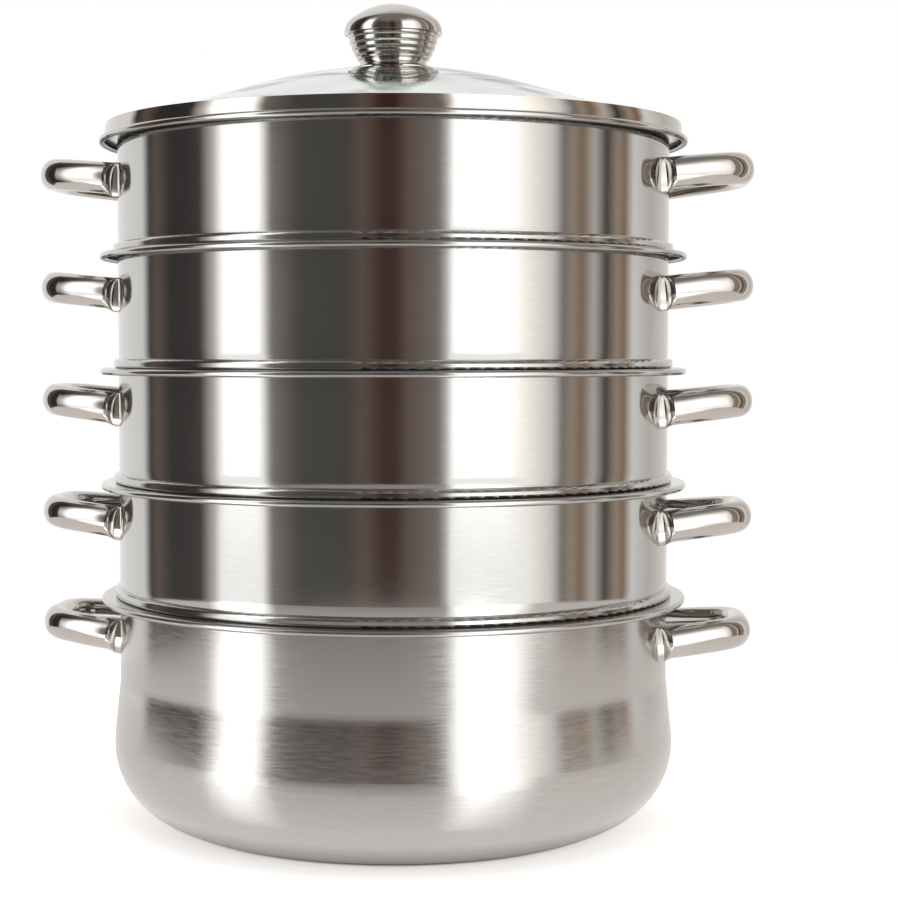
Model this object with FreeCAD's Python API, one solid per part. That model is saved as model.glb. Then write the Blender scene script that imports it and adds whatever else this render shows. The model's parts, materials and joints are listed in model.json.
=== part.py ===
import FreeCAD, Part
import math
import os

# Sizes are in millimetres. The upright axis is Z and the pot stands on the plane z = 0.

# Sheet steel and the curled rim, the same on the base pot and on every tier
sheet = 0.6
mouth_radius = 150.0
mouth_bend = 0.8
flange_width = 9.9
curl_radius = 1.75
curl_end_angle = -160

# Base pot
base_height = 124.0
belly_bulge = 3.3
base_corner = 43.0
neck_depth = 42.0
flank_bend = 60.0

# Steamer tiers
tier_count = 4
tier_pitch = 62.0
spigot_clearance = 1.0
spigot_depth = 9.0
spigot_corner = 4.0
lip_width = 11.0
seat_bend = 0.9
bead_proud = 2.5
bead_height = 5.0
bead_lower_bend = 1.6
bead_upper_bend = 1.8
bead_root_bend = 0.9
wall_foot_bend = 45.0
wall_foot_angle = 6.0

# Perforated steam floors
floor_thickness = 0.8
floor_edge_gap = 0.4
hole_radius = 5.5
hole_rings = 4
ring_hole_count = 6
hole_margin = 26.0

# Side handles, an oval tube bent to a loop, with its ends crimped flat and welded on edge
handle_length = 45.2
handle_leg = 38.0
leg_root_angle = 14.0
leg_end_angle = 29.0
handle_bend = 20.5
tube_width = 13.5
tube_height = 17.0
crimp_width = 4.0
crimp_height = 18.6
crimp_drop = 0.6
crimp_length = 1.8
shoulder_width = 11.0
shoulder_height = 17.6
foot_length = 6.0
handle_drop = 21.5
handle_tilt = 6.0

# Glass lid and its steel band
glass = 4.0
lid_overlap = 6.4
dome_top = 39.2
dome_slope = 17.2
rim_bend = 8.0
rim_flat = 7.3
glass_hole_radius = 4.2
band_cover = 4.9
band_side = 0.6
band_bulge = 0.3
band_hem = 2.2
band_top = 0.7

# Knob on the lid, a cap crimped over a cup, on a flared plate
knob_radius = 26.9
cap_rise = 15.4
cap_edge_bend = 9.0
cap_skirt = 1.2
cap_crimp = 0.3
cup_height = 15.4
cup_foot_radius = 20.0
cup_foot_bend = 1.4
cup_rim_bend = 0.9
cup_brim = 1.6
rib_count = 4
rib_swing_angle = 26.0
rib_turn_angle = 5.0
plate_radius = 27.5
plate_sheet = 0.8
plate_bend = 4.4
plate_seat_gap = 0.05
neck_inset = 0.4
neck_straight = 0.25

# Screw that draws the knob down on the glass, with its nut and washers
screw_radius = 2.9
screw_clearance = 0.2
screw_head_radius = 5.5
screw_head_height = 3.0
screw_head_bend = 1.5
nut_sides = 6
nut_radius = 5.5
nut_height = 11.0
washer_radius = 9.0
washer_thickness = 1.0
gasket_radius = 11.0
gasket_thickness = 1.5
grommet_radius = 9.0
grommet_flange = 1.0
grommet_clearance = 0.1

# Places worked out from the sizes above
wall_radius = mouth_radius + sheet
rim_radius = wall_radius + flange_width
belly_radius = wall_radius + belly_bulge
neck_height = base_height - neck_depth
spigot_radius = mouth_radius - spigot_clearance
bead_radius = wall_radius + bead_proud
lip_radius = spigot_radius - lip_width
hole_pitch = (lip_radius - hole_margin) / hole_rings
handle_reach = wall_radius + handle_length
foot_reach = math.sqrt(wall_radius ** 2 - handle_leg ** 2)
lid_height = base_height + tier_count * tier_pitch
glass_rim_radius = mouth_radius + lid_overlap
glass_rim_top = band_hem + glass
screw_hole_radius = screw_radius + screw_clearance
axis_point = FreeCAD.Vector(0, 0, 0)
upright = FreeCAD.Vector(0, 0, 1)


def at(radius, height):
    """A point of a half-section at a radius and a height."""
    return FreeCAD.Vector(radius, 0, height)


def bend(radius, height, size, start, end):
    """The three points of an arc of a half-section, about a centre and between two angles."""
    points = []
    for angle in (start, (start + end) / 2, end):
        turn = math.radians(angle)
        points.append(at(radius + size * math.cos(turn), height + size * math.sin(turn)))
    return points


def bend_on(point, size, start, end):
    """The arc that goes on from a point of a half-section, between two angles about its own centre."""
    turn = math.radians(start)
    return bend(point.x - size * math.cos(turn), point.z - size * math.sin(turn), size, start, end)


def outline(*stops):
    """A wire through points and arcs, with straight sides between them."""
    edges = []
    here = None
    for stop in stops:
        points = stop if isinstance(stop, list) else [stop]
        if here is not None and here.distanceToPoint(points[0]) > 1e-6:
            edges.append(Part.makeLine(here, points[0]))
        if len(points) == 3:
            edges.append(Part.Arc(*points).toShape())
        here = points[-1]
    return Part.Wire(edges)


def turned_sheet(thickness, *stops):
    """A round shell of even thickness, laid on the right-hand side of its section line."""
    section = outline(*stops).makeOffset2D(-thickness, 0, True, True)
    return section.revolve(axis_point, upright, 360)


def turned_solid(*stops):
    """A solid of revolution from a closed half-section."""
    section = Part.Face(outline(*stops, stops[0]))
    return section.revolve(axis_point, upright, 360)


def ring(inner, outer, bottom, height):
    """A flat ring about the upright axis."""
    top = bottom + height
    return turned_solid(at(inner, bottom), at(outer, bottom), at(outer, top), at(inner, top))


def curled_rim(top):
    """The mouth's outward bend, flat flange and downward curl, as stops of a section line."""
    mouth = bend(mouth_radius + mouth_bend, top - mouth_bend, mouth_bend, 180, 90)
    curl = bend(rim_radius - curl_radius, top - curl_radius, curl_radius, 90, curl_end_angle)
    return mouth, curl


def base_pot():
    """The deep pot: flat bottom, big round corner, belly, straight flank up to the neck, curled rim.
    The bends above and below the flank are as large as its rise has room for."""
    rise = neck_height - base_corner
    size = min(flank_bend, rise ** 2 / (4 * belly_bulge))
    run = 2 * size - belly_bulge
    lean = math.degrees(math.atan2(rise, run) - math.acos(2 * size / math.hypot(rise, run)))
    return turned_sheet(
        sheet,
        at(0, sheet),
        bend(belly_radius - base_corner, base_corner, base_corner - sheet, -90, 0),
        bend(belly_radius - size, base_corner, size - sheet, 0, lean),
        bend(wall_radius + size, neck_height, size + sheet, 180 + lean, 180),
        *curled_rim(base_height),
    )


def tier_shell(seat):
    """One steamer ring: turned-in lip, spigot, resting bead, wall drawn in at its foot, curled rim."""
    bottom = seat - spigot_depth
    bead_top = seat + bead_height
    lean = math.cos(math.radians(wall_foot_angle))
    root_radius = mouth_radius - wall_foot_bend * (1 - lean) + bead_root_bend * lean
    root = bend(root_radius, bead_top - sheet + bead_root_bend, bead_root_bend, 270, 180 - wall_foot_angle)
    return turned_sheet(
        sheet,
        at(lip_radius, bottom + sheet),
        bend(spigot_radius - spigot_corner, bottom + spigot_corner, spigot_corner - sheet, -90, 0),
        bend(spigot_radius - sheet + seat_bend, seat + sheet - seat_bend, seat_bend, 180, 90),
        bend(bead_radius - bead_lower_bend, seat + bead_lower_bend, bead_lower_bend - sheet, -90, 0),
        bend(bead_radius - bead_upper_bend, bead_top - bead_upper_bend, bead_upper_bend - sheet, 0, 90),
        root,
        bend_on(root[2], wall_foot_bend, -wall_foot_angle, 0),
        *curled_rim(seat + tier_pitch),
    )


def steam_floor(seat):
    """The perforated floor that lies on a tier's lip, with rings of round steam holes."""
    edge_radius = spigot_radius - spigot_corner - floor_edge_gap
    level = FreeCAD.Vector(0, 0, seat - spigot_depth + sheet)
    wires = [Part.Wire(Part.makeCircle(edge_radius, level)), Part.Wire(Part.makeCircle(hole_radius, level))]
    for number in range(1, hole_rings + 1):
        holes = ring_hole_count * number
        for step in range(holes):
            turn = 2 * math.pi * step / holes
            out = number * hole_pitch
            centre = level + FreeCAD.Vector(out * math.cos(turn), out * math.sin(turn), 0)
            wires.append(Part.Wire(Part.makeCircle(hole_radius, centre)))
    plate = Part.Face(wires, "Part::FaceMakerBullseye")
    return plate.extrude(upright * floor_thickness)


def oval(centre, lean, width, height):
    """An oval across the leg of a handle that lies in the section plane, its long axis along Y."""
    crown = centre + FreeCAD.Vector(0, height / 2, 0)
    cheek = centre + at(-math.sin(lean), math.cos(lean)) * (width / 2)
    return Part.Wire(Part.Ellipse(crown, cheek, centre).toShape())


def handle_foot(side):
    """One end of the handle: a flat edge on the wall, a rounded shoulder, then the full tube."""
    lean = -side * math.radians(leg_root_angle)
    along = at(math.cos(lean), math.sin(lean))
    root = at(foot_reach, side * handle_leg)
    edge = root - FreeCAD.Vector(0, crimp_drop, 0)
    crimp_end = oval(edge + along * crimp_length, lean, crimp_width, crimp_height)
    crimp_root = oval(edge - along * foot_length, lean, crimp_width, crimp_height)
    flat = Part.makeLoft([crimp_root, crimp_end], True, True)
    middle = (edge + root + along * (crimp_length + foot_length)) / 2
    shoulder = Part.makeLoft([
        crimp_end,
        oval(middle, lean, shoulder_width, shoulder_height),
        oval(root + along * foot_length, lean, tube_width, tube_height),
    ], True)
    return [flat, shoulder]


def handle_loop():
    """The bent tube from foot to foot: two long curved legs that draw together and a short straight grip."""
    root_angle = math.radians(leg_root_angle)
    end_angle = math.radians(leg_end_angle)
    foot = at(math.cos(root_angle), math.sin(root_angle)) * foot_length
    start = at(foot_reach, -handle_leg) + foot
    run = handle_reach - tube_width / 2 - start.x
    leg_bend = (run - handle_bend * (1 - math.sin(end_angle))) / (math.sin(end_angle) - math.sin(root_angle))
    leg = bend_on(start, leg_bend, leg_root_angle - 90, leg_end_angle - 90)
    turn = bend_on(leg[2], handle_bend, leg_end_angle - 90, 0)
    there = [at(point.x, -point.z) for point in reversed(leg)]
    back = [at(point.x, -point.z) for point in reversed(turn)]
    path = outline(leg, turn, back, there)
    return path.makePipeShell([oval(start, root_angle, tube_width, tube_height)], True, False)


def side_handle(rim_height, heading):
    """A welded handle below a rim, laid level, tilted up outwards and turned to its side of the pot."""
    loop = handle_loop().fuse(handle_foot(-1) + handle_foot(1))
    loop.rotate(axis_point, FreeCAD.Vector(1, 0, 0), 90)
    loop.rotate(at(wall_radius, 0), FreeCAD.Vector(0, 1, 0), -handle_tilt)
    wall = Part.makeCylinder(wall_radius, 2 * handle_reach, FreeCAD.Vector(0, 0, -handle_reach))
    body = loop.cut(wall).removeSplitter()
    body.rotate(axis_point, upright, heading)
    body.translate(upright * (rim_height - handle_drop))
    return body


# The glass dome: a round crown that runs straight on down the flank to the flat rim
slope_angle = math.radians(dome_slope)
rim_bend_radius = glass_rim_radius - rim_flat
flank_foot_radius = rim_bend_radius - rim_bend * math.sin(slope_angle)
flank_foot_height = glass_rim_top + rim_bend * (1 - math.cos(slope_angle))
cone_top_radius = flank_foot_radius - (dome_top - flank_foot_height) / math.tan(slope_angle)
dome_radius = cone_top_radius / math.tan(slope_angle / 2)


def dome_height(radius, inset):
    """The height of the dome's surface at a radius, some way in from its outside."""
    return dome_top - dome_radius + math.sqrt((dome_radius - inset) ** 2 - radius ** 2)


def lid_glass():
    """The pressed glass dome with the screw's hole at its top."""
    hole_angle = math.degrees(math.acos(glass_hole_radius / dome_radius))
    return turned_sheet(
        glass,
        bend(0, dome_top - dome_radius, dome_radius, hole_angle, 90 - dome_slope),
        bend(rim_bend_radius, glass_rim_top + rim_bend, rim_bend, 270 - dome_slope, 270),
        at(glass_rim_radius, glass_rim_top),
    )


def lid_band():
    """The steel band folded round the glass rim, with a hem that rests on the pot's flange."""
    crest = glass_rim_top + band_top
    inner = glass_rim_radius - band_cover
    outer = glass_rim_radius + band_side
    return turned_solid(
        at(inner, 0),
        [at(outer, 0), at(outer + band_bulge, crest / 2), at(outer, crest)],
        at(inner, crest),
        at(inner, glass_rim_top),
        at(glass_rim_radius, glass_rim_top),
        at(glass_rim_radius, band_hem),
        at(inner, band_hem),
    )


# Heights of the washers under the glass and of the knob's parts above it
gasket_bottom = dome_height(gasket_radius, glass) - gasket_thickness
washer_bottom = gasket_bottom - washer_thickness
neck_radius = cup_foot_radius - cup_foot_bend - neck_inset
flare_angle = math.asin(plate_radius / dome_radius)
plate_rim_top = dome_height(plate_radius, 0) + plate_sheet + plate_seat_gap
flare_start = neck_radius + plate_bend * (1 - math.sin(flare_angle))
flare_rise = (plate_radius - flare_start) * math.tan(flare_angle)
neck_bend_height = plate_rim_top + flare_rise + plate_bend * math.cos(flare_angle)
cup_foot_height = neck_bend_height + neck_straight
cup_rim_height = cup_foot_height + cup_height


def knob_cap():
    """The domed upper shell of the knob, with a rounded edge and a short skirt over the cup's flange."""
    edge_radius = knob_radius - cap_edge_bend
    edge_height = cup_rim_height + cap_crimp
    span = edge_radius ** 2 + cap_rise ** 2 - cap_edge_bend ** 2
    crown_radius = span / (2 * (cap_rise - cap_edge_bend))
    crown_height = edge_height + cap_rise - crown_radius
    edge_angle = math.degrees(math.atan2(edge_height - crown_height, edge_radius))
    return turned_sheet(
        sheet,
        bend(0, crown_height, crown_radius, 90, edge_angle),
        bend(edge_radius, edge_height, cap_edge_bend, edge_angle, 0),
        at(knob_radius, edge_height - cap_skirt),
    )


def knob_cup():
    """The lower shell of the knob: flat foot, round flank with pressed ribs, and the flange under the cap.
    The flank is a chain of equal chords, a hollow and a crest for each rib, that turns up step by step."""
    flank_run = knob_radius - cup_brim - cup_foot_radius
    flank_angle = math.degrees(math.atan2(cup_height - cup_foot_bend, flank_run))
    chords = 2 * rib_count
    first_angle = flank_angle - (chords - 1) / 2 * rib_turn_angle / 2
    heading = first_angle + rib_swing_angle
    last_heading = heading + rib_count * rib_turn_angle
    foot_centre = cup_foot_height + cup_foot_bend
    foot = bend(cup_foot_radius - cup_foot_bend, foot_centre, cup_foot_bend - sheet, -90, heading - 90)
    brim_rise = cup_rim_bend * (1 - math.cos(math.radians(last_heading)))
    climb = sum(math.sin(math.radians(first_angle + step * rib_turn_angle / 2)) for step in range(chords))
    half_chord = (cup_rim_height - brim_rise - foot[2].z) / climb / 2
    hollow_bend = half_chord / math.sin(math.radians(rib_swing_angle))
    crest_bend = half_chord / math.sin(math.radians(rib_swing_angle + rib_turn_angle / 2))
    stops = [foot]
    for number in range(rib_count):
        eased = heading - 2 * rib_swing_angle
        hollow = bend_on(stops[-1][2], hollow_bend, heading + 90, eased + 90)
        heading += rib_turn_angle
        crest = bend_on(hollow[2], crest_bend, eased - 90, heading - 90)
        stops += [hollow, crest]
    brim = bend_on(stops[-1][2], cup_rim_bend, heading + 90, 90)
    return turned_sheet(
        sheet,
        at(screw_hole_radius, cup_foot_height + sheet),
        *stops,
        brim,
        at(knob_radius - sheet, cup_rim_height),
    )


def knob_plate():
    """The flared plate between the glass and the knob."""
    return turned_sheet(
        plate_sheet,
        at(neck_radius, cup_foot_height),
        bend(neck_radius + plate_bend, neck_bend_height, plate_bend, 180, 270 - math.degrees(flare_angle)),
        at(plate_radius, plate_rim_top),
    )


def knob_nut():
    """The six-sided nut inside the knob, standing on the cup's floor."""
    floor = cup_foot_height + sheet
    corners = []
    for step in range(nut_sides + 1):
        turn = 2 * math.pi * step / nut_sides
        corners.append(FreeCAD.Vector(nut_radius * math.cos(turn), nut_radius * math.sin(turn), floor))
    bore = Part.Wire(Part.makeCircle(screw_hole_radius, FreeCAD.Vector(0, 0, floor)))
    section = Part.Face([Part.makePolygon(corners), bore], "Part::FaceMakerBullseye")
    return section.extrude(upright * nut_height)


def glass_grommet():
    """The soft sleeve that keeps the screw off the glass, with a flange on top of the dome."""
    top = dome_height(glass_hole_radius, 0)
    bottom = dome_height(glass_hole_radius, glass)
    sleeve_radius = glass_hole_radius - grommet_clearance
    return turned_solid(
        at(screw_hole_radius, bottom),
        at(sleeve_radius, bottom),
        at(sleeve_radius, top),
        at(grommet_radius, top),
        at(grommet_radius, top + grommet_flange),
        at(screw_hole_radius, top + grommet_flange),
    )


def knob_screw():
    """The screw from below the glass up into the nut, with a rounded head."""
    shoulder = washer_bottom
    head_foot = shoulder - screw_head_height
    tip = cup_foot_height + sheet + nut_height
    return turned_solid(
        at(0, head_foot),
        bend(screw_head_radius - screw_head_bend, head_foot + screw_head_bend, screw_head_bend, -90, 0),
        at(screw_head_radius, shoulder),
        at(screw_radius, shoulder),
        at(screw_radius, tip),
        at(0, tip),
    )


nodes = {"base_pot": base_pot()}
sides = {"right": 0, "left": 180}
for side, heading in sides.items():
    nodes["base_handle_" + side] = side_handle(base_height, heading)
for number in range(1, tier_count + 1):
    tier = "tier_" + str(number)
    seat = base_height + (number - 1) * tier_pitch
    nodes[tier + "_shell"] = tier_shell(seat)
    nodes[tier + "_floor"] = steam_floor(seat)
    for side, heading in sides.items():
        nodes[tier + "_handle_" + side] = side_handle(seat + tier_pitch, heading)

lid_nodes = {
    "lid_glass": lid_glass(),
    "lid_band": lid_band(),
    "knob_cap": knob_cap(),
    "knob_cup": knob_cup(),
    "knob_plate": knob_plate(),
    "knob_nut": knob_nut(),
    "knob_screw": knob_screw(),
    "knob_washer": ring(screw_hole_radius, washer_radius, washer_bottom, washer_thickness),
    "glass_gasket": ring(screw_hole_radius, gasket_radius, gasket_bottom, gasket_thickness),
    "glass_grommet": glass_grommet(),
}
for name, shape in lid_nodes.items():
    shape.translate(upright * lid_height)
    nodes[name] = shape

os.makedirs("parts", exist_ok=True)
for name, shape in nodes.items():
    shape.exportStep("parts/" + name + ".step")
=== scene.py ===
import json
import math

import bpy
import numpy as np
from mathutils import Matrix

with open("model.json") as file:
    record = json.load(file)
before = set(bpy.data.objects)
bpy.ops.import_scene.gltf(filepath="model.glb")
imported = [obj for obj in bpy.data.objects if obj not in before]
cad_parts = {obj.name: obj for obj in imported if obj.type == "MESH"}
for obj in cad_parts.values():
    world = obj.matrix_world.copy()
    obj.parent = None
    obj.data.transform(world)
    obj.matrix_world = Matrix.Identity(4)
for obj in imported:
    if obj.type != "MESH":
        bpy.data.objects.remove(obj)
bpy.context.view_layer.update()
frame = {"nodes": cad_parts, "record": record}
nodes = frame["nodes"]

# The photograph's camera: metres and angles about the pot's upright axis, then pixels
CAMERA_DISTANCE = 1.1005
CAMERA_HEIGHT = 0.2589
CAMERA_TURN = math.radians(6.0)
CAMERA_DOWN = math.radians(2.948)
PIXELS_LONG_SIDE = 900
FOCAL_PIXELS = 1986.0
AXIS_LEFT_OF_MIDDLE = 55.7

# Noise lies mostly between these values, so a finish runs from one end to the other over them
NOISE_LOW, NOISE_HIGH = 0.3, 0.7


def linear(hex_colour):
    """An sRGB hex colour as linear red, green, blue and alpha."""
    value = np.array([int(hex_colour[i:i + 2], 16) for i in (1, 3, 5)]) / 255
    low = value / 12.92
    high = ((value + 0.055) / 1.055) ** 2.4
    return (*np.where(value <= 0.04045, low, high), 1.0)


def scale_for(size_mm):
    """The scale of a noise on coordinates in metres, for lumps size_mm across."""
    return 1000.0 / size_mm


def add(tree, kind, inputs=None, stops=(), **settings):
    """Adds one node: its settings, its colour stops in order of place, then each input as a link
    or a plain value. A node given as an input links its first output."""
    made = tree.nodes.new("ShaderNode" + kind)
    for name, value in settings.items():
        setattr(made, name, value)
    for number, (place, colour) in enumerate(stops):
        band = made.color_ramp.elements
        stop = band[number] if number < 2 else band.new(place)
        stop.position, stop.color = place, linear(colour)
    for name, value in (inputs or {}).items():
        if isinstance(value, bpy.types.Node):
            value = value.outputs[0]
        if isinstance(value, bpy.types.NodeSocket):
            tree.links.new(value, made.inputs[name])
        else:
            made.inputs[name].default_value = value
    return made


def new_material(name):
    """A material with an empty node tree, and the tree."""
    material = bpy.data.materials.new(name)
    material.use_nodes = True
    material.node_tree.nodes.clear()
    return material, material.node_tree


# Materials

# Turned sheet: sizes in millimetres, depths and distances from the axis in metres
LINE_LENGTH_MM, CLOUD_MM, WAVE_MM = 10, 83, 143
WAVE_DEPTH = 0.0003
LINE_CHANGE = 0.2  # share by which the roughness differs from line to line
DRAWN_OUT, ACROSS_THE_LINES = 0.85, 0.25  # how long the streaks are, and their quarter turn
RIM_SHADE_START, RIM_SHADE_END, RIM_SHADE_SHARE = 0.151, 0.155, 0.6  # painted shade under the rims: from the wall outwards, where it starts and is full, and its share
DOWN_START, DOWN_END = -0.35, -0.85  # upward part of the normal of a face that looks down


def turned_steel(name, colour, dull, line_mm, line_depth, gloss, haze, haze_share):
    """Sheet stainless steel, drawn and then finished while it turned about its axis.
    The lines of the finish run round the axis: noise that changes quickly with height plus radius
    and slowly along the line. Real ones are about 0.1 mm wide, too fine to show in the render, so
    they are drawn line_mm wide. Most of the light is mirrored sharply. A share of it is drawn out
    upwards and downwards by the lines, which gives the long pale streaks. A weak wave bends the
    reflections, as thin sheet does. Under the rims, on faces that look down past the wall, shade
    is painted in: a dark, matt, slightly cloudy surface instead of steel."""
    material, tree = new_material(name)
    coordinates = add(tree, "TexCoord").outputs
    place = coordinates["Object"]
    axes = add(tree, "SeparateXYZ", {"Vector": place}).outputs
    flat = add(tree, "CombineXYZ", {"X": axes["X"], "Y": axes["Y"]})
    radius = add(tree, "VectorMath", {0: flat}, operation="LENGTH").outputs["Value"]
    across = add(tree, "Math", {0: axes["Z"], 1: radius}, operation="ADD")
    unrolled = add(tree, "CombineXYZ", {"X": axes["X"], "Y": axes["Y"], "Z": across})
    stretch = (scale_for(LINE_LENGTH_MM), scale_for(LINE_LENGTH_MM), scale_for(line_mm))
    along = add(tree, "VectorMath", {0: unrolled, 1: stretch}, operation="MULTIPLY")
    lines = add(tree, "TexNoise", {"Vector": along, "Scale": 1.0, "Detail": 2.0, "Roughness": 0.5})
    # the cloud only varies the painted shade under the rims
    cloud = add(tree, "TexNoise", {"Vector": place, "Scale": scale_for(CLOUD_MM), "Detail": 3.0})
    wave = add(tree, "TexNoise", {"Vector": place, "Scale": scale_for(WAVE_MM), "Detail": 0.0})
    bent = add(tree, "Bump", {"Height": wave, "Distance": WAVE_DEPTH, "Strength": 1.0})
    scored = add(tree, "Bump", {"Height": lines, "Distance": line_depth, "Strength": 1.0,
                                "Normal": bent})
    tint = add(tree, "ValToRGB", {"Fac": lines}, [(NOISE_LOW, dull), (NOISE_HIGH, colour)])
    streak = add(tree, "MapRange", {
        "Value": lines, "From Min": NOISE_LOW, "From Max": NOISE_HIGH,
        "To Min": (1 - LINE_CHANGE) * gloss, "To Max": (1 + LINE_CHANGE) * gloss})
    round_axis = add(tree, "Tangent", direction_type="RADIAL", axis="Z")
    sharp = add(tree, "BsdfPrincipled", {
        "Base Color": tint, "Metallic": 1.0, "Roughness": streak, "Normal": scored})
    drawn = add(tree, "BsdfPrincipled", {
        "Base Color": tint, "Metallic": 1.0, "Roughness": haze, "Anisotropic": DRAWN_OUT,
        "Anisotropic Rotation": ACROSS_THE_LINES, "Tangent": round_axis, "Normal": bent})
    finished = add(tree, "MixShader", {0: haze_share, 1: sharp, 2: drawn})

    # Painted shade under the rims: faces that look down, past the wall, get a dark matt cloudy
    # surface
    facing = add(tree, "SeparateXYZ", {"Vector": coordinates["Normal"]}).outputs["Z"]
    down = add(tree, "MapRange", {"Value": facing, "From Min": DOWN_START, "From Max": DOWN_END})
    past_wall = add(tree, "MapRange", {"Value": radius, "From Min": RIM_SHADE_START,
                                       "From Max": RIM_SHADE_END, "To Max": RIM_SHADE_SHARE})
    painted_rim_shade = add(tree, "Math", {0: down, 1: past_wall}, operation="MULTIPLY")
    dark = add(tree, "ValToRGB", {"Fac": cloud}, [(NOISE_LOW, "#2A2928"), (NOISE_HIGH, "#3A3938")])
    painted_shade_surface = add(tree, "BsdfPrincipled", {"Base Color": dark, "Roughness": 0.8})
    whole = add(tree, "MixShader", {0: painted_rim_shade, 1: finished, 2: painted_shade_surface})
    add(tree, "OutputMaterial", {"Surface": whole})
    return material


# Buffed steel: sizes in millimetres, depth in metres, then the roughness where it is clear and hazy
BUFF_HAZE_MM, RIPPLE_MM, RIPPLE_DEPTH = 11.1, 22.2, 0.0002
CLEAR_BUFF, HAZY_BUFF = 0.045, 0.11


def buffed_steel(name):
    """Stainless tube and pressings buffed on a soft wheel: almost a mirror.
    Faint buffing haze changes the roughness, and a weak long ripple keeps the reflections from
    being perfect."""
    material, tree = new_material(name)
    place = add(tree, "TexCoord").outputs["Object"]
    haze = add(tree, "TexNoise", {"Vector": place, "Scale": scale_for(BUFF_HAZE_MM), "Detail": 5.0,
                                  "Roughness": 0.6})
    ripple = add(tree, "TexNoise", {"Vector": place, "Scale": scale_for(RIPPLE_MM), "Detail": 1.0})
    tint = add(tree, "ValToRGB", {"Fac": haze}, [(NOISE_LOW, "#C5C1BC"), (NOISE_HIGH, "#CFCBC7")])
    gloss = add(tree, "MapRange", {"Value": haze, "From Min": NOISE_LOW, "From Max": NOISE_HIGH,
                                   "To Min": CLEAR_BUFF, "To Max": HAZY_BUFF})
    bent = add(tree, "Bump", {"Height": ripple, "Distance": RIPPLE_DEPTH, "Strength": 1.0})
    steel = add(tree, "BsdfPrincipled", {
        "Base Color": tint, "Metallic": 1.0, "Roughness": gloss, "Normal": bent})
    add(tree, "OutputMaterial", {"Surface": steel})
    return material


# Pressed glass: sizes in millimetres, depth in metres, then where smears start and are full
PRESS_WAVE_MM, PRESS_WAVE_DEPTH, SMEAR_MM = 55.6, 0.0003, 25
SMEAR_START, SMEAR_FULL, SMEAR_ROUGHNESS = 0.45, 0.75, 0.05


def pressed_glass(name):
    """Tempered soda-lime glass, pressed to a dome: clear, with a faint green cast, a slight press
    waviness and faint smears."""
    material, tree = new_material(name)
    place = add(tree, "TexCoord").outputs["Object"]
    wave = add(tree, "TexNoise", {"Vector": place, "Scale": scale_for(PRESS_WAVE_MM),
                                  "Detail": 1.0})
    smear = add(tree, "TexNoise", {"Vector": place, "Scale": scale_for(SMEAR_MM), "Detail": 5.0})
    bent = add(tree, "Bump", {"Height": wave, "Distance": PRESS_WAVE_DEPTH, "Strength": 1.0})
    gloss = add(tree, "MapRange", {"Value": smear, "From Min": SMEAR_START, "From Max": SMEAR_FULL,
                                   "To Min": 0.0, "To Max": SMEAR_ROUGHNESS})
    tint = add(tree, "ValToRGB", {"Fac": smear}, [(NOISE_LOW, "#F6FBF8"), (NOISE_HIGH, "#F1F8F4")])
    glass = add(tree, "BsdfPrincipled", {
        "Base Color": tint, "Transmission Weight": 1.0, "IOR": 1.52, "Roughness": gloss,
        "Normal": bent})
    add(tree, "OutputMaterial", {"Surface": glass})
    return material


# Silicone: grain in millimetres, its depth and how deep light enters (red, green, blue) in metres
MOULD_GRAIN_MM, MOULD_GRAIN_DEPTH = 1.1, 0.00005
LIGHT_ENTERS = (0.002, 0.002, 0.0018)


def moulded_silicone(name):
    """Heat-proof silicone, moulded: milky, soft-edged and matt, with a fine mould grain. The real
    grain is about 0.2 mm, too fine to show in the render, so it is drawn coarser."""
    material, tree = new_material(name)
    place = add(tree, "TexCoord").outputs["Object"]
    grain = add(tree, "TexNoise", {"Vector": place, "Scale": scale_for(MOULD_GRAIN_MM),
                                   "Detail": 2.0})
    tint = add(tree, "ValToRGB", {"Fac": grain}, [(NOISE_LOW, "#D2D3CC"), (NOISE_HIGH, "#DEDFD9")])
    fine = add(tree, "Bump", {"Height": grain, "Distance": MOULD_GRAIN_DEPTH, "Strength": 0.5})
    soft = add(tree, "BsdfPrincipled", {
        "Base Color": tint, "Roughness": 0.55, "IOR": 1.41, "Subsurface Weight": 0.3,
        "Subsurface Radius": LIGHT_ENTERS, "Normal": fine})
    add(tree, "OutputMaterial", {"Surface": soft})
    return material


finishes = {
    "satin_steel": turned_steel(
        "satin_brushed_stainless", colour="#C8C6C4", dull="#C1C0BE", line_mm=0.8,
        line_depth=0.000003, gloss=0.17, haze=0.50, haze_share=0.12),
    "bright_steel": turned_steel(
        "bright_rolled_stainless", colour="#C7C6C4", dull="#C3C2C0", line_mm=0.6,
        line_depth=0.000002, gloss=0.08, haze=0.45, haze_share=0.10),
    "polished_steel": buffed_steel("wheel_buffed_stainless"),
    "clear_glass": pressed_glass("pressed_tempered_glass"),
    "silicone": moulded_silicone("moulded_silicone"),
}
for entry in frame["record"]["subparts"]:
    for slot in nodes[entry["node"]].material_slots:
        slot.material = finishes[entry["material_slot"]]


# Studio: a pale board to stand on, white behind, a dim room in front and two tall soft lights

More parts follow.
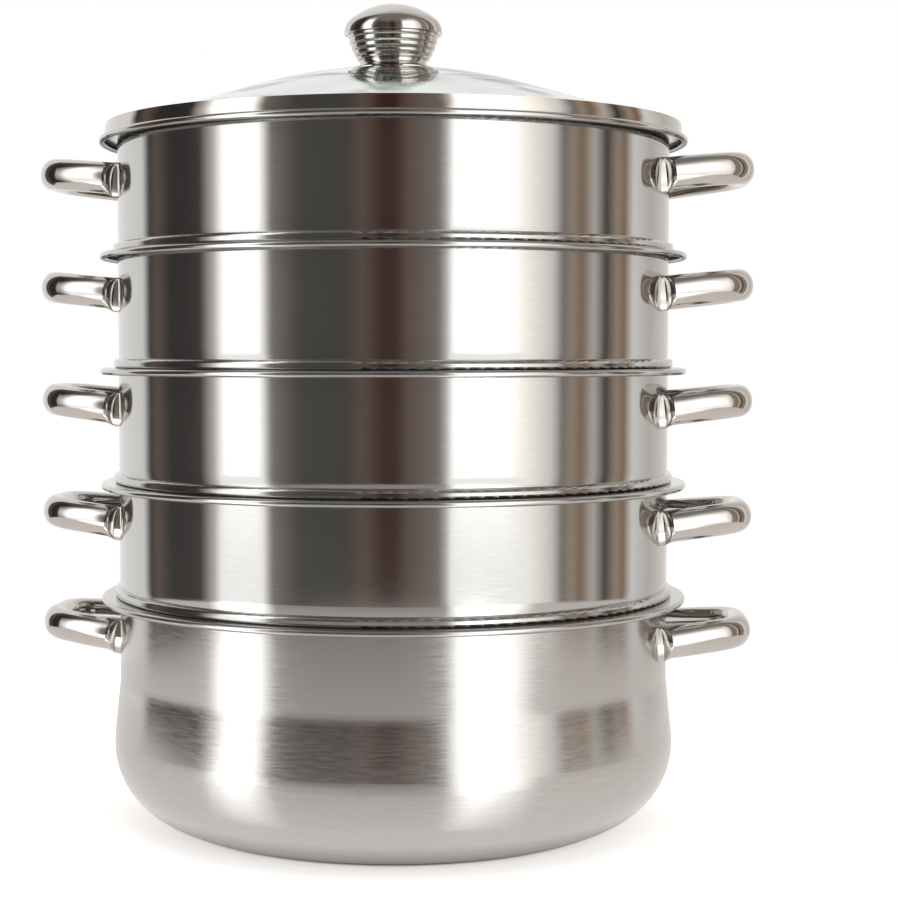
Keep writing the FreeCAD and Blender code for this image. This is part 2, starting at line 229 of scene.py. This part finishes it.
def tones_by_angle(tree, way, degrees_and_tones, fan_ahead=0.0):
    """Tones that run round the upright axis, by the angle from the camera's side in degrees,
    counted to the right. The angle is taken about a point that lies fan_ahead in front of the axis.
    Gives the tones, how far ahead of that point a place lies, and its height."""
    spun = add(tree, "VectorRotate", {"Vector": way, "Angle": CAMERA_TURN},
               rotation_type="Z_AXIS", invert=True)
    axes = add(tree, "SeparateXYZ", {"Vector": spun}).outputs
    ahead = add(tree, "Math", {0: axes["Y"], 1: -1.0, 2: -fan_ahead}, operation="MULTIPLY_ADD")
    angle = add(tree, "Math", {0: axes["X"], 1: ahead}, operation="ARCTAN2")
    share = add(tree, "MapRange", {"Value": angle, "From Min": -math.pi, "From Max": math.pi})
    tones = add(tree, "ValToRGB", {"Fac": share},
                [(degrees / 360 + 0.5, tone) for degrees, tone in degrees_and_tones])
    return tones, ahead, axes["Z"]


# The board, in metres. Distances are from the pot's axis, those of its own edge from its middle
BOARD_AHEAD, BOARD_REACH, EDGE_START, EDGE_END = 0.30, 0.95, 0.80, 0.92
BOARD_TURNS, BOARD_RINGS = 96, 24
# Painted light in the board's glow: the tall lights' bands fan out from a point ahead of the axis
# and come in between BANDS_START and BANDS_FULL
BANDS_FAN_AHEAD, BANDS_START, BANDS_FULL = 0.093, 0.16, 0.90
# painted contact shadow: inside FOOT_INSIDE the board is dark, from FOOT_OUTSIDE on it is white
FOOT_INSIDE, FOOT_OUTSIDE = 0.1165, 0.121
# Painted shade of the pot in the glow: none at SHADE_START, full from SHADE_END_BEHIND behind and
# SHADE_END_AHEAD ahead
SHADE_START, SHADE_END_BEHIND, SHADE_END_AHEAD = 0.113, 0.26, 0.143
BEHIND, BESIDE = -0.25, -0.13  # ahead of the fan: where the shade is longest and shortest
BOARD_STRENGTH = 4.2


def opal_board(name, middle):
    """Opal acrylic with a matt face that glows, as a board lit from below for pictures of goods
    does.
    To the camera it is an even white that runs out into the white all round, darkened only by a
    painted contact shadow under the foot of the pot. The steel mirrors another glow, with painted
    light and shade in it: two bands of light from the tall lights, a front that dims with the
    distance from the pot, and a painted shade of the pot, which is longer behind."""
    material, tree = new_material(name)
    place = add(tree, "TexCoord").outputs["Object"]
    from_pot = add(tree, "VectorMath", {0: place}, operation="LENGTH").outputs["Value"]
    from_middle = add(tree, "VectorMath", {0: place, 1: middle}, operation="DISTANCE")
    # Painted light: the glow's tones round the pot, white where the tall lights' bands fall, dimmer
    # in front
    front, left, right, bright = "#5B5856", "#7B7876", "#7A7673", "#FFFFFF"
    painted_light_tones, ahead, _ = tones_by_angle(tree, place, [
        (-180, left), (-80, left), (-68, bright), (-61, bright), (-49, front), (21, front),
        (32, bright), (36, bright), (60, right), (180, right)], BANDS_FAN_AHEAD)
    way_out = add(tree, "MapRange", {"Value": from_pot, "From Min": BANDS_START,
                                     "From Max": BANDS_FULL})
    away = add(tree, "Math", {0: way_out}, operation="SQRT")
    bands = add(tree, "MixRGB", {0: away, 1: linear("#83807E"), 2: painted_light_tones})
    # Painted shade: the glow grows from nothing near the pot, over a longer reach behind it
    shade_end = add(tree, "MapRange", {
        "Value": ahead, "From Min": BEHIND, "From Max": BESIDE,
        "To Min": SHADE_END_BEHIND, "To Max": SHADE_END_AHEAD})
    painted_shade_glow = add(tree, "MapRange", {"Value": from_pot, "From Min": SHADE_START,
                                    "From Max": shade_end, "To Max": BOARD_STRENGTH})
    lit = add(tree, "Emission", {"Color": bands, "Strength": painted_shade_glow})
    # Painted contact shadow: a dark ring under the pot's foot, in the board's colour and its white
    # glow
    foot = add(tree, "MapRange", {"Value": from_pot, "From Min": FOOT_INSIDE,
                                  "From Max": FOOT_OUTSIDE})
    white_with_painted_foot_shadow = add(tree, "MixRGB", {0: foot, 1: linear("#3A3938"), 2: linear("#F2F1F0")})
    matt = add(tree, "BsdfDiffuse", {"Color": white_with_painted_foot_shadow})
    white = add(tree, "Emission", {"Color": linear("#BEBDBC"), "Strength": foot})
    seen = add(tree, "AddShader", {0: matt, 1: white})
    to_camera = add(tree, "LightPath").outputs["Is Camera Ray"]
    board = add(tree, "MixShader", {0: to_camera, 1: lit, 2: seen})
    edge = add(tree, "MapRange", {"Value": from_middle.outputs["Value"], "From Min": EDGE_START,
                                  "From Max": EDGE_END}, interpolation_type="SMOOTHSTEP")
    clear = add(tree, "BsdfTransparent")
    whole = add(tree, "MixShader", {0: edge, 1: board, 2: clear})
    add(tree, "OutputMaterial", {"Surface": whole})
    return material


def pale_floor():
    """A round flat board: rings of points about a middle that lies ahead of the pot, each at its
    ring's radius times the cosine and sine of its turn, and triangles to a hub in the middle."""
    middle = (BOARD_AHEAD * math.sin(CAMERA_TURN), -BOARD_AHEAD * math.cos(CAMERA_TURN), 0.0)
    turn, radius = np.meshgrid(np.arange(BOARD_TURNS) / BOARD_TURNS * 2 * math.pi,
                               np.arange(1, BOARD_RINGS + 1) / BOARD_RINGS * BOARD_REACH)
    points = np.stack([radius * np.cos(turn), radius * np.sin(turn), 0 * turn], -1).reshape(-1, 3)
    points = np.vstack([points, [[0, 0, 0]]]) + middle
    ring, step = np.meshgrid(np.arange(BOARD_RINGS - 1), np.arange(BOARD_TURNS), indexing="ij")
    inner, outer = ring * BOARD_TURNS, (ring + 1) * BOARD_TURNS
    following = (step + 1) % BOARD_TURNS
    quads = np.stack([inner + step, outer + step, outer + following, inner + following], -1)
    first = np.arange(BOARD_TURNS)
    hub = np.stack([first, (first + 1) % BOARD_TURNS,
                    np.full(BOARD_TURNS, BOARD_RINGS * BOARD_TURNS)], -1)
    mesh = bpy.data.meshes.new("pale_floor")
    mesh.from_pydata(points.tolist(), [], quads.reshape(-1, 4).tolist() + hub.tolist())
    mesh.materials.append(opal_board("matt_opal_board", middle))
    floor = bpy.data.objects.new("pale_floor", mesh)
    bpy.context.scene.collection.objects.link(floor)


# The room, by the upward part of a direction: where the lights' lower ends start to dim and are
# dimmest, where the walls give way to the ceiling, and how much sooner they do so in front
LOW_START, LOW_END = -0.045, -0.11
CEILING_START, CEILING_FULL, SOONER_IN_FRONT = 0.66, 1.0, 0.3
ROOM_STRENGTH = 2.2


def studio_room():
    """What the steel mirrors: white behind the pot, two tall soft white lights, a dim room round
    the camera and a dark ceiling. The tones run round the upright axis, and give way to the ceiling
    with height. The lights grow weaker towards their lower ends. Seen straight or through the
    glass, all round is plain white."""
    world = bpy.data.worlds.new("studio")
    bpy.context.scene.world = world
    world.use_nodes = True
    tree = world.node_tree
    tree.nodes.clear()
    way = add(tree, "TexCoord").outputs["Generated"]
    light, cream, paper, dusk = "#FFFFFF", "#D9D5CC", "#B2B1B0", "#98948F"
    stone, slate, grey, soot = "#7C7165", "#5B5550", "#363533", "#252322"
    umber, taupe, brown = "#66503F", "#4C4039", "#2E1D17"
    walls, ahead, height = tones_by_angle(tree, way, [
        (-180, paper), (-124.5, paper), (-118.5, soot), (-112, taupe), (-102, soot), (-84, soot),
        (-77, dusk), (-71, light), (-56, light), (-50, slate), (-38, grey), (-18, grey),
        (-12, taupe), (-4, brown), (1, brown), (6, taupe), (18, slate), (21, dusk), (24.5, light),
        (45, light), (56, cream), (66.5, paper), (72, slate), (76.5, stone), (82, umber),
        (88.5, dusk), (95.5, soot), (103, stone), (108.5, umber), (115, paper), (130, dusk),
        (180, paper)])
    low = add(tree, "MapRange", {"Value": height, "From Min": LOW_START, "From Max": LOW_END})
    dimmed = add(tree, "MixRGB", {0: low, 1: walls, 2: linear("#D6D5D4")}, blend_type="DARKEN")
    tilt = add(tree, "Math", {0: ahead, 1: SOONER_IN_FRONT, 2: height}, operation="MULTIPLY_ADD")
    above = add(tree, "MapRange", {"Value": tilt, "From Min": CEILING_START,
                                   "From Max": CEILING_FULL}, interpolation_type="SMOOTHSTEP")
    room = add(tree, "MixRGB", {0: above, 1: dimmed, 2: linear("#5E5D5C")})
    mirrored = add(tree, "Background", {"Color": room, "Strength": ROOM_STRENGTH})
    plain = add(tree, "Background", {"Color": linear("#FFFFFF"), "Strength": 1.0})
    ray = add(tree, "LightPath").outputs
    straight = add(tree, "Math", {0: ray["Is Camera Ray"], 1: ray["Is Transmission Ray"]},
                   operation="MAXIMUM")
    seen = add(tree, "MixShader", {0: straight, 1: mirrored, 2: plain})
    add(tree, "OutputWorld", {"Surface": seen})


def top_light():
    """A wide light overhead for the floor. The steel doesn't mirror it."""
    lamp = bpy.data.lights.new("overhead", "AREA")
    lamp.size = 2.4
    lamp.energy = 30
    light = bpy.data.objects.new("overhead", lamp)
    light.location = (0, 0, 2.2)
    light.visible_camera = False
    light.visible_glossy = False
    bpy.context.scene.collection.objects.link(light)


def camera():
    """The photograph's camera, level left to right, with the pot's axis left of the middle."""
    lens = bpy.data.cameras.new("camera")
    lens.sensor_width = 36.0
    lens.lens = FOCAL_PIXELS / PIXELS_LONG_SIDE * lens.sensor_width
    lens.shift_x = AXIS_LEFT_OF_MIDDLE / PIXELS_LONG_SIDE
    eye = bpy.data.objects.new("camera", lens)
    eye.location = (CAMERA_DISTANCE * math.sin(CAMERA_TURN),
                    -CAMERA_DISTANCE * math.cos(CAMERA_TURN), CAMERA_HEIGHT)
    eye.rotation_euler = (math.pi / 2 - CAMERA_DOWN, 0, CAMERA_TURN)
    bpy.context.scene.collection.objects.link(eye)
    bpy.context.scene.camera = eye


pale_floor()
studio_room()
top_light()
camera()
bpy.context.scene.view_settings.view_transform = "Standard"
